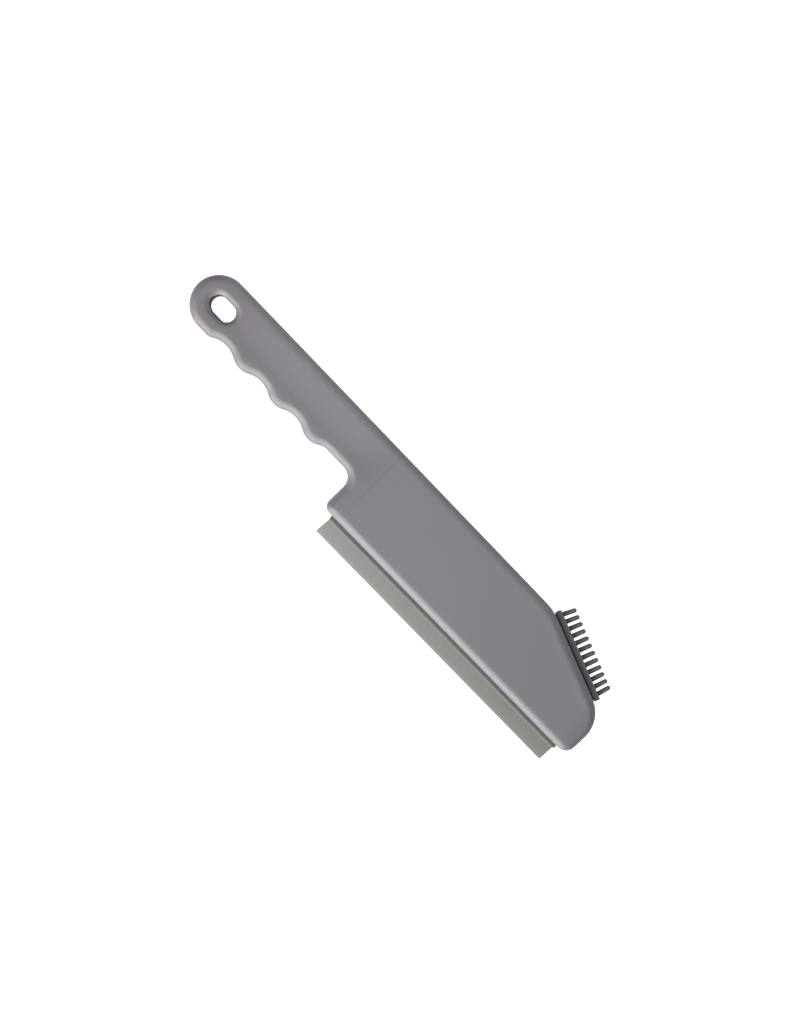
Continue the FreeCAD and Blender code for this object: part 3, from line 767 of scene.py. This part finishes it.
def face_drop(x, y):
    """How far the handle's hollow lies below the flat face."""
    start = ease((x - END_X - HOLLOW_START) / (HOLLOW_FULL - HOLLOW_START))
    end = ease((BODY_X - x) / (HOLLOW_ENDS + HOLLOW_GONE))
    return start * end * hollow_drop(y)


def on_face(f):
    return f.normal.z > 0.99 and f.calc_center_median().z / MM > TOP - 0.01


def cut_grid(xs, ys):
    """Lines across the half, so that its face can be shaped."""
    for x in xs:
        bpy.ops.mesh.select_all(action="SELECT")
        bpy.ops.mesh.bisect(plane_co=place(x, 0, TOP), plane_no=(1, 0, 0))
    for y in ys:
        pick("face", lambda f: on_face(f) and f.calc_center_median().x / MM < BODY_X + 1)
        bpy.ops.mesh.bisect(plane_co=place(0, y, TOP), plane_no=(0, 1, 0))
    square_to_slope = (math.sin(SLOPE), math.cos(SLOPE), 0)
    for under in LIP_LINES:
        pick("face", lambda f: on_face(f) and f.calc_center_median().x / MM > CREASE_X)
        bpy.ops.mesh.bisect(plane_co=place(*on_slope(0, -under), TOP), plane_no=square_to_slope)


def press(piece, depth_at, most):
    """Move points down by depth_at(x, y, z) millimetres; where most is negative, up."""
    group = piece.vertex_groups.new(name="pressed")
    for v in piece.data.vertices:
        share = depth_at(v.co.x / MM, v.co.y / MM - AXIS_Y, v.co.z / MM) / most
        if share > 0:
            group.add([v.index], share, "REPLACE")
    only(piece)
    dent = piece.modifiers.new("dent", "DISPLACE")
    dent.direction = "Z"
    dent.mid_level = 0.0
    dent.strength = -most * MM
    dent.vertex_group = "pressed"
    bpy.ops.object.modifier_apply(modifier="dent")
    piece.vertex_groups.clear()


def below_face(distance, radius):
    """How far an edge rounded to a radius lies below the face, at a distance in from the edge."""
    return radius - math.sqrt(max(0.0, radius ** 2 - max(0.0, radius - max(0.0, distance)) ** 2))


def spine_lift(x, y, z):
    """Takes the spine's rounding from the general radius to its own; negative is up."""
    if z < TOP - EDGE_ROUND - 0.1 or y < SPINE_Y - EDGE_ROUND - 0.1:
        return 0.0
    ends = ease((x - END_X - SPINE_Y) / 20) * ease((SHOULDER_X + 4 - x) / 16)
    return ends * (below_face(SPINE_Y - y, SPINE_ROUND) - below_face(SPINE_Y - y, EDGE_ROUND))


def slope_lift(x, y, z):
    """The face rises a little towards the edge beside the comb; negative is up."""
    along = (x - SLOPE_END_X) * math.cos(SLOPE) - (y - SLOPE_END_Y) * math.sin(SLOPE)
    under = -((x - SLOPE_END_X) * math.sin(SLOPE) + (y - SLOPE_END_Y) * math.cos(SLOPE))
    first, last = -SLOPE_LENGTH - LIP_RUN_OUT, LIP_RUN_OUT_NOSE
    if not first < along < last:
        return 0.0
    ends = ease((along - first) / LIP_FADE) * ease((last - along) / LIP_FADE)
    share = min(1.0, max(0.0, (LIP_FROM - under) / (LIP_FROM - EDGE_ROUND)))
    return -LIP_RISE * ends * share * share * up_the_half(z)


def up_the_half(z):
    """0 at the parting plane and 1 at the face."""
    return max(0.0, (z - PARTING) / HALF)


def crease_drop(x):
    return CREASE_DEPTH * math.exp(-((x - CREASE_X) / CREASE_SPREAD) ** 2)


def in_recess(x, y):
    return any(math.hypot(x - a, y - b) < RECESS / 2 + 0.1 for a, b in SCREW_PLACES)


def casing_depth(x, y, z):
    """How far the hollow and the crease lie below a point; a screw's recess keeps its depth."""
    if z < TOP - RECESS_EDGE - 0.1 and in_recess(x, y):
        return 0.0
    return (face_drop(x, y) + crease_drop(x)) * up_the_half(z)


def casing_half(screwed=False):
    casing_outline(PARTING + SEAM_BEVEL)
    push(z=HALF - EDGE_ROUND - SEAM_BEVEL)
    round_rim()
    bpy.ops.mesh.delete(type="ONLY_FACE")
    pick("face", lambda f: f.normal.z < -0.99)
    inset(SEAM_BEVEL, SEAM_BEVEL)
    bpy.ops.mesh.delete(type="ONLY_FACE")
    pieces = [done(), slot_mouth()]
    if screwed:
        pieces += [screw_recess(x, y) for x, y in SCREW_PLACES]
    half = joined(pieces)
    edit(half)
    level_hole(TOP)
    level_hole(PARTING)
    outwards()
    handle_x = spaced(END_X + 4, CREASE_X - 4, GRID_X)
    crease_x = spaced(CREASE_X - 4 * CREASE_GRID, CREASE_X + 4.5 * CREASE_GRID, CREASE_GRID)
    shoulder_x = spaced(SHOULDER_X - 12, SHOULDER_X + 5, SHOULDER_GRID)
    cut_grid(handle_x + crease_x + shoulder_x, spaced(-8, 9, GRID_Y))
    half = done()
    press(half, spine_lift, SPINE_ROUND - EDGE_ROUND)
    press(half, slope_lift, -LIP_RISE)
    press(half, casing_depth, HOLLOW_DEPTH + 0.1)
    return half


def turned_over(piece):
    """Mirror a half through the parting plane."""
    edit(piece)
    bpy.ops.mesh.select_all(action="SELECT")
    bpy.ops.transform.resize(value=(1, 1, -1), center_override=(0, 0, PARTING * MM))
    outwards()
    return done()


front = casing_half()
rear = turned_over(casing_half(screwed=True))
finish_piece(front, "front_shell_casing", "shell")
finish_piece(rear, "rear_shell_casing", "shell")
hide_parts("front_shell")
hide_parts("rear_shell")


# ---- screws ---------------------------------------------------------------
def bisect_at(axis, values, wanted):
    """Cut straight lines across the chosen faces at places given in the row frame, in millimetres."""
    for value in values:
        pick("face", wanted)
        spot, across = Vector((0, 0, 0)), Vector((0, 0, 0))
        spot[axis], across[axis] = value * MM, 1
        bpy.ops.mesh.bisect(plane_co=spot, plane_no=across)


def bevel_sharp(width, segments=2, least=30.0, wanted=lambda e: True):
    """Round the edges whose faces meet at more than so many degrees."""
    pick("edge", lambda e: e.is_manifold and math.degrees(e.calc_face_angle(0)) > least and wanted(e))
    bpy.ops.mesh.bevel(offset=width * MM, offset_type="OFFSET", segments=segments, profile=0.5,
                       clamp_overlap=True, affect="EDGES")


def screw_at_origin():
    """Pan-head screw, head down, with its seat level with z = 0."""
    deselect()
    bpy.ops.mesh.primitive_cylinder_add(vertices=48, radius=SCREW_HEAD / 2 * MM, depth=SCREW_HEAD_HEIGHT * MM,
                                        location=(0, 0, -SCREW_HEAD_HEIGHT / 2 * MM))
    bpy.ops.object.transform_apply(location=True, rotation=True, scale=True)
    screw = bpy.context.view_layer.objects.active
    edit(screw)
    top = -SCREW_HEAD_HEIGHT * MM
    pick("edge", lambda e: all(v.co.z < top + 1e-6 for v in e.verts))
    bpy.ops.mesh.bevel(offset=SCREW_CROWN * MM, segments=6, profile=0.5, affect="EDGES")
    half = CROSS_WIDTH / 2

    def crown(f):
        return f.normal.z < -0.999 and f.calc_center_median().z < top + 1e-6

    def in_cross(f):
        middle = f.calc_center_median() / MM
        arms = sorted((abs(middle.x), abs(middle.y)))
        return crown(f) and arms[0] < half and arms[1] < CROSS_REACH

    for axis in (0, 1):
        bisect_at(axis, (-CROSS_REACH, -half, half, CROSS_REACH), crown)
    pick("face", in_cross)
    push(z=CROSS_DEPTH)
    bpy.ops.transform.resize(value=(CROSS_TAPER, CROSS_TAPER, 1), center_override=(0, 0, 0))
    pick("face", lambda f: f.normal.z > 0.999 and f.calc_center_median().z > -1e-6)
    inset((SCREW_HEAD - SCREW_SHANK) / 2)
    push(z=SCREW_LENGTH - SCREW_SHANK / 2)
    push(z=SCREW_SHANK / 2)
    bpy.ops.transform.resize(value=(SCREW_POINT, SCREW_POINT, 1), center_override=(0, 0, 0))
    outwards()
    return done()


screw = screw_at_origin()
for number, (x, y) in enumerate(SCREW_PLACES, 1):
    copy = copied(screw, place(x, y, SCREW_SEAT), math.radians(SCREW_TURN * number))
    finish_piece(copy, "shell_screw_%d" % number, "screw_steel", 40)
    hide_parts("shell_screws")
bpy.data.objects.remove(screw)


# ---- blade carrier and blade ----------------------------------------------
def section(x, points):
    """Fill a closed outline of (y, height above the parting plane) points in the plane across x."""
    y, up = points[0]
    start_at(place(x, y, PARTING + up))
    for next_y, next_up in points[1:] + points[:1]:
        push(0, next_y - y, next_up - up)
        y, up = next_y, next_up
    bpy.ops.mesh.select_all(action="SELECT")
    merge(0.002)
    bpy.ops.mesh.edge_face_add()


def both_sides(points):
    """One side of a section, then the same mirrored through the parting plane."""
    return points + [(y, -up) for y, up in reversed(points)]


def lengthen_below(x, y, reach):
    """Cut the end face that lies at x along a height y, and extrude what is under the cut."""
    def at_end(f):
        return abs(f.normal.x) > 0.99 and abs(f.calc_center_median().x / MM - x) < 0.01

    pick("face", at_end)
    bpy.ops.mesh.bisect(plane_co=(0, row_y(y), 0), plane_no=(0, 1, 0))
    pick("face", lambda f: at_end(f) and f.calc_center_median().y < row_y(y))
    push(x=reach)


def carrier():
    """Foot, neck and head in one length, with the channel that grips the blade's root."""
    root, bead = BLADE_ROOT / 2 + RUBBER_GAP, BEAD_WIDTH / 2 + RUBBER_GAP
    bead_low = HEAD_Y + GRIP_WALL
    bead_high = bead_low + BEAD_HEIGHT + 2 * RUBBER_GAP
    side = [(bead_high, bead), (bead_low, bead), (bead_low, root), (CARRIER_BOTTOM, root),
            (CARRIER_BOTTOM, CARRIER_FOOT / 2), (LOWER_Y, CARRIER_FOOT / 2), (LOWER_Y, CARRIER_NECK / 2),
            (HEAD_Y, CARRIER_NECK / 2), (HEAD_Y, CARRIER_HEAD / 2),
            (HEAD_Y + CARRIER_HEAD_HEIGHT, CARRIER_HEAD / 2)]
    x0, x1 = CARRIER_X0 + CARRIER_SETBACK, CARRIER_X1 - CARRIER_SETBACK
    section(x0, both_sides(side))
    push(x=x1 - x0)
    outwards()
    lengthen_below(x0, LOWER_Y, -CARRIER_SETBACK)
    lengthen_below(x1, LOWER_Y, CARRIER_SETBACK)
    edge_y = row_y(LOWER_Y)

    def on_foot(e):
        outer = all(v.co.y < edge_y + 1e-6 and abs(v.co.z / MM - PARTING) > BLADE_ROOT for v in e.verts)
        return outer and not all(v.co.y > edge_y - 1e-5 for v in e.verts)

    bevel_sharp(CARRIER_EDGE, 3, 60, on_foot)
    outwards()
    return done()


def blade():
    """Rubber lip with its beaded root; the wiping edge is bevelled and its handle end leans out."""
    bead_low = HEAD_Y + GRIP_WALL + RUBBER_GAP
    bevel_up = BLADE_TIP / 2 + (BLADE_ROOT - BLADE_TIP) / 2 * BLADE_BEVEL / BLADE_SHOWS
    side = [(bead_low + BEAD_HEIGHT, BEAD_WIDTH / 2), (bead_low, BEAD_WIDTH / 2), (bead_low, BLADE_ROOT / 2),
            (CARRIER_BOTTOM, BLADE_ROOT / 2), (WIPING_Y + BLADE_BEVEL, bevel_up),
            (WIPING_Y, BLADE_TIP / 2 - BLADE_BEVEL_DEPTH)]
    held0, held1 = CARRIER_X0 + CARRIER_SETBACK, CARRIER_X1 - CARRIER_SETBACK
    section(held0, both_sides(side))
    push(x=held1 - held0)
    outwards()
    shown_y = CARRIER_BOTTOM + CARRIER_SHOWS / 2
    handle_end, nose_end = CARRIER_X0 + BLADE_INSET_HANDLE, CARRIER_X1 - BLADE_INSET_NOSE
    lengthen_below(held0, shown_y, handle_end - held0)
    lengthen_below(held1, shown_y, nose_end - held1)
    for share in (0.25, 0.5, 0.75):
        bpy.ops.mesh.select_all(action="SELECT")
        level = row_y(CARRIER_BOTTOM - BLADE_SHOWS * share)
        bpy.ops.mesh.bisect(plane_co=(0, level, 0), plane_no=(0, 1, 0))
    for v in bmesh.from_edit_mesh(bpy.context.edit_object.data).verts:
        if abs(v.co.x - handle_end * MM) < 1e-5:
            low = (CARRIER_BOTTOM + AXIS_Y - v.co.y / MM) / BLADE_SHOWS
            v.co.x -= BLADE_FLARE * MM * max(0.0, low)
    bevel_sharp(SMALL_BEVEL, 2, 25, lambda e: all(v.co.y < row_y(shown_y) for v in e.verts))
    outwards()
    return done()


carrier_piece = finish_piece(carrier(), "blade_carrier_strip", "carrier", 35)
blade_piece = finish_piece(blade(), "squeegee_lip", "blade_rubber", 35)
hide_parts("blade_carrier")
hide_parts("squeegee_blade")


# ---- comb -----------------------------------------------------------------
def slope_block(along0, along1, up0, up1, depth):
    """A block on the nose slope, centred on the parting plane."""
    corners = [on_slope(*corner) for corner in ((along0, up0), (along1, up0), (along1, up1), (along0, up1))]
    pen = Pen(*corners[0], PARTING - depth / 2)
    for corner in corners[1:] + corners[:1]:
        pen.line(*corner)
    pen.close()
    push(z=depth)
    outwards()


def slope_up(co):
    """Height above the slope, in millimetres, of a point in the row frame."""
    return (co.x / MM - SLOPE_END_X) * math.sin(SLOPE) + (co.y / MM - AXIS_Y - SLOPE_END_Y) * math.cos(SLOPE)


def comb_bar():
    """Bar of the comb; its long upper edges are rounded more than the rest."""
    def long_upper(e):
        level = abs(e.verts[0].co.z - e.verts[1].co.z) < 1e-6
        return level and all(slope_up(v.co) > COMB_HEIGHT - 0.01 for v in e.verts)

    slope_block(COMB_OVERHANG - COMB_LENGTH, COMB_OVERHANG, SEAT_HEIGHT, COMB_HEIGHT, COMB_DEPTH)
    bevel_sharp(COMB_EDGE, 4, 60, long_upper)
    bevel_sharp(SMALL_BEVEL, 2, 60)
    return done()


def tooth_at_origin():
    """Tapered tooth with a domed tip and a small fillet at its root, standing along y."""
    root, tip = TOOTH_ROOT / 2, TOOTH_TIP / 2
    dome_y = TOOTH_LENGTH - tip - AXIS_Y
    pen = Pen(0, -TOOTH_SINK - AXIS_Y, 0)
    pen.line(root + TOOTH_FILLET, -TOOTH_SINK - AXIS_Y)
    pen.line(root + TOOTH_FILLET, -AXIS_Y)
    for turn in (30, 60, 90):
        a = math.radians(turn)
        pen.line(root + TOOTH_FILLET * (1 - math.sin(a)), TOOTH_FILLET * (1 - math.cos(a)) - AXIS_Y)
    pen.line(tip, dome_y)
    pen.arc(0, dome_y, 90)
    bpy.ops.mesh.select_all(action="SELECT")
    bpy.ops.mesh.spin(steps=TOOTH_SIDES, angle=2 * math.pi, center=(0, 0, 0), axis=(0, 1, 0))
    bpy.ops.mesh.select_all(action="SELECT")
    merge(0.004)
    outwards()
    return done()


parts = [comb_bar()]
tooth = tooth_at_origin()
for i in range(TEETH):
    share = 2 * i / (TEETH - 1) - 1
    x, y = on_slope(COMB_OVERHANG - COMB_LENGTH + FIRST_TOOTH + i * TOOTH_PITCH, COMB_HEIGHT)
    parts.append(copied(tooth, place(x, y, PARTING), math.radians(END_LEAN * share ** 3) - SLOPE))
bpy.data.objects.remove(tooth)
comb = finish_piece(joined(parts), "rubber_comb", "comb_rubber", 40)
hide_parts("comb_strip")
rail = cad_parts["comb_rail"]
rail.data.materials.clear()
rail.data.materials.append(FINISHES["rail"])

# ---- camera ---------------------------------------------------------------
camera_data = bpy.data.cameras.new("camera")
camera = bpy.data.objects.new("camera", camera_data)
bpy.context.scene.collection.objects.link(camera)
camera_data.sensor_fit = "HORIZONTAL"
camera_data.sensor_width = 36.0
camera_data.lens = 55.19
CAMERA_FROM_AXIS = (-58.91, 15.98, 574.1)      # from the middle of the handle's line at the parting plane
LOOK = Vector((0.10511, -0.04173, -0.99358))
UP = Vector((-0.71484, 0.69141, -0.10466))
right = LOOK.cross(UP).normalized()
camera.matrix_world = Matrix((
    (right.x, UP.x, -LOOK.x, CAMERA_FROM_AXIS[0] * MM),
    (right.y, UP.y, -LOOK.y, (CAMERA_FROM_AXIS[1] + AXIS_Y) * MM),
    (right.z, UP.z, -LOOK.z, (CAMERA_FROM_AXIS[2] + PARTING) * MM),
    (0, 0, 0, 1)))
camera_data.clip_start = 0.01
camera_data.clip_end = 20
bpy.context.scene.camera = camera

# ---- floor and lights -----------------------------------------------------
bpy.context.scene.view_settings.view_transform = "Standard"
FLOOR_WHITE = 0.8
FLOOR_GLOW = 1.0        # seen, but it lights nothing
BACKDROP = 1.0
WHITE = (1.0, 1.0, 1.0)
FAINTLY_WARM = (1.0, 1.0, 0.94)
LIGHTS = (
    # name, degrees round from the nose end, degrees up, metres away, width, height, watts, tint
    ("low_key", -90, 15, 1.0, 1.2, 0.3, 11.9, FAINTLY_WARM),
    ("middle_key", -90, 35, 1.0, 1.2, 0.3, 3.4, WHITE),
    ("high_key", -94, 52, 1.0, 1.2, 0.3, 5.9, WHITE),
    ("back_fill", 97, 30, 1.0, 1.2, 0.4, 2.8, WHITE),
    ("back_high", 95, 62, 1.0, 1.2, 0.4, 2.9, WHITE),
)

deselect()
bpy.ops.mesh.primitive_plane_add(size=4.0, location=(0, 0, rear_low.z - 0.0002))
floor = bpy.context.view_layer.objects.active
floor.name = "floor"
floor_finish = Finish("white_floor", 0.9, 0.0)
floor_finish.surface.inputs["Base Color"].default_value = (FLOOR_WHITE, FLOOR_WHITE, FLOOR_WHITE, 1)
floor_finish.surface.inputs["Emission Strength"].default_value = 1.0
floor_finish.feed("Emission Color", floor_finish.seen_only(FLOOR_GLOW))
floor.data.materials.append(floor_finish.material)
world = bpy.data.worlds.new("studio")
bpy.context.scene.world = world
world.use_nodes = True
backdrop = world.node_tree.nodes["Background"]
backdrop.inputs["Color"].default_value = (*WHITE, 1)
glow = Tree(world.node_tree).seen_only(BACKDROP)
world.node_tree.links.new(glow.socket, backdrop.inputs["Strength"])
for name, turn, rise, away, width, height, watts, tint in LIGHTS:
    light_data = bpy.data.lights.new(name, "AREA")
    light_data.shape = "RECTANGLE"
    light_data.size, light_data.size_y = width, height
    light_data.energy = watts
    light_data.color = tint
    light = bpy.data.objects.new(name, light_data)
    bpy.context.scene.collection.objects.link(light)
    turn, rise = math.radians(turn), math.radians(rise)
    level = math.cos(rise)
    light.location = away * Vector((math.cos(turn) * level, math.sin(turn) * level, math.sin(rise)))
    light.rotation_euler = (-light.location).to_track_quat("-Z", "Y").to_euler()
